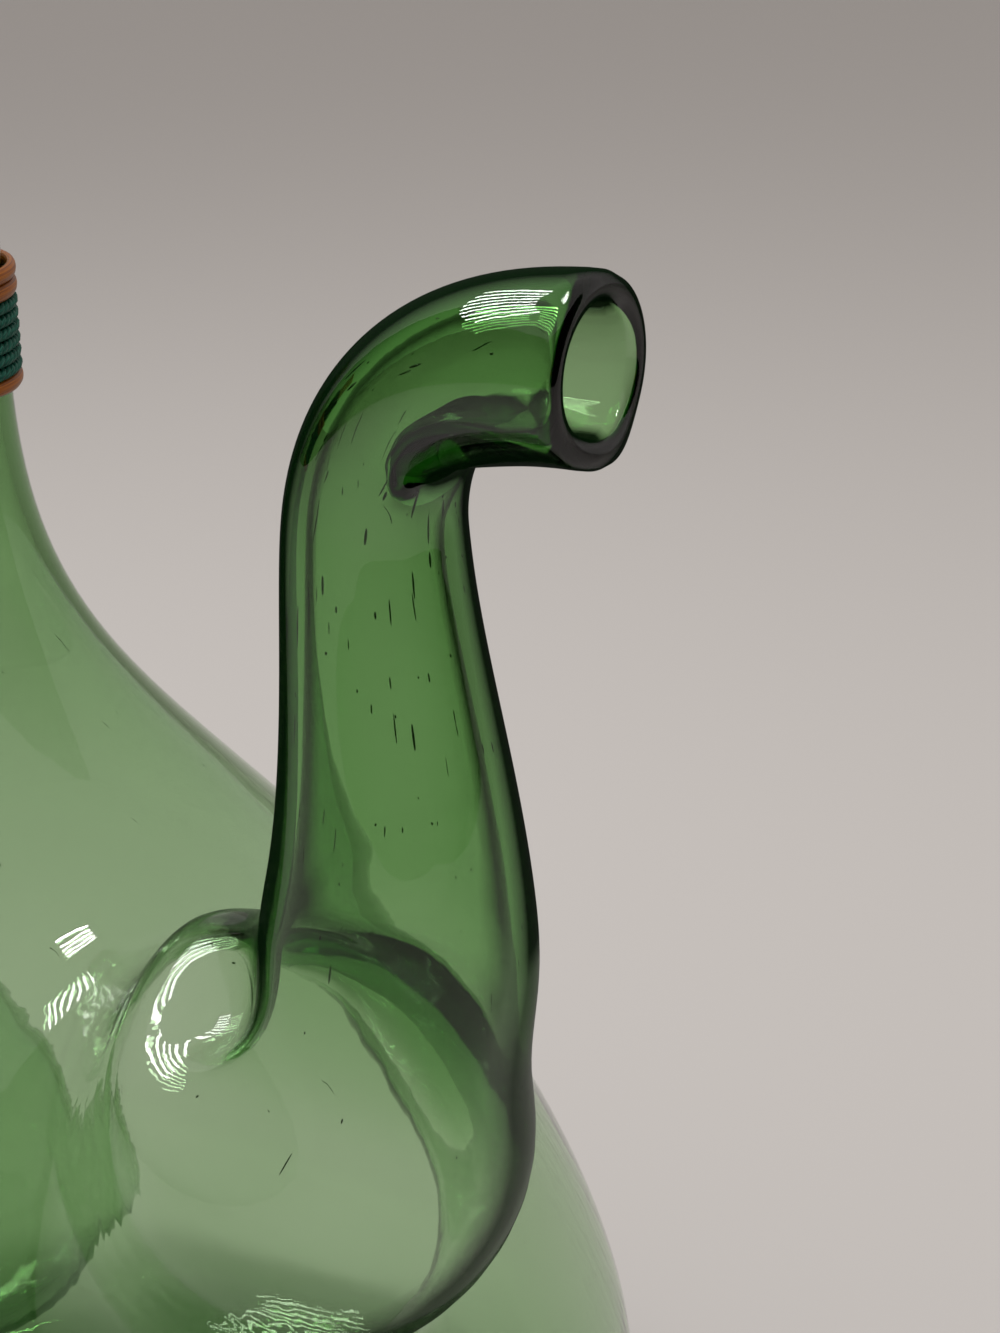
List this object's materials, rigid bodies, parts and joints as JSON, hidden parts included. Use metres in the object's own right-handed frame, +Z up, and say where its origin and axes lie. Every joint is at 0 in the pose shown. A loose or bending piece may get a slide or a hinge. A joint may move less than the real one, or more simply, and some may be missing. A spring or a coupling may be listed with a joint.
{
  "type": "decanter",
  "caption": "Hand-blown green glass decanter with a side pouring spout, an ice pocket in its shoulder, a bound cane carrying ring at the neck and a cork stopper.",
  "frame": {"origin": "centre of the flat base, on the axis of the body", "axes": "+Z up along the axis of the body and neck, +X towards the pouring spout, the ice pocket and the carrying ring on the -X side"},
  "size_m": [0.2715, 0.24, 0.3037],
  "materials": {
    "green_glass": "clear green glass, fire polished, with small seeds and streaks",
    "cane": "orange-brown varnished cane",
    "dyed_cord": "dark teal-green dyed cord with a waxed sheen",
    "cork": "natural cork with dark pores"
  },
  "bodies": {
    "vessel": {"glass_body": "green_glass", "pouring_spout": "green_glass", "ice_pocket": "green_glass", "lower_cane_winding": "cane", "green_cord_winding": "dyed_cord", "upper_cane_winding": "cane", "cane_carrying_ring": "cane"},
    "stopper": {"cork_stopper": "cork"}
  },
  "joints": [
    {"name": "cork_pull", "type": "slide", "parent": "vessel", "child": "stopper", "axis": [0, 0, 1], "range_m": [0, 0.04]}
  ]
}
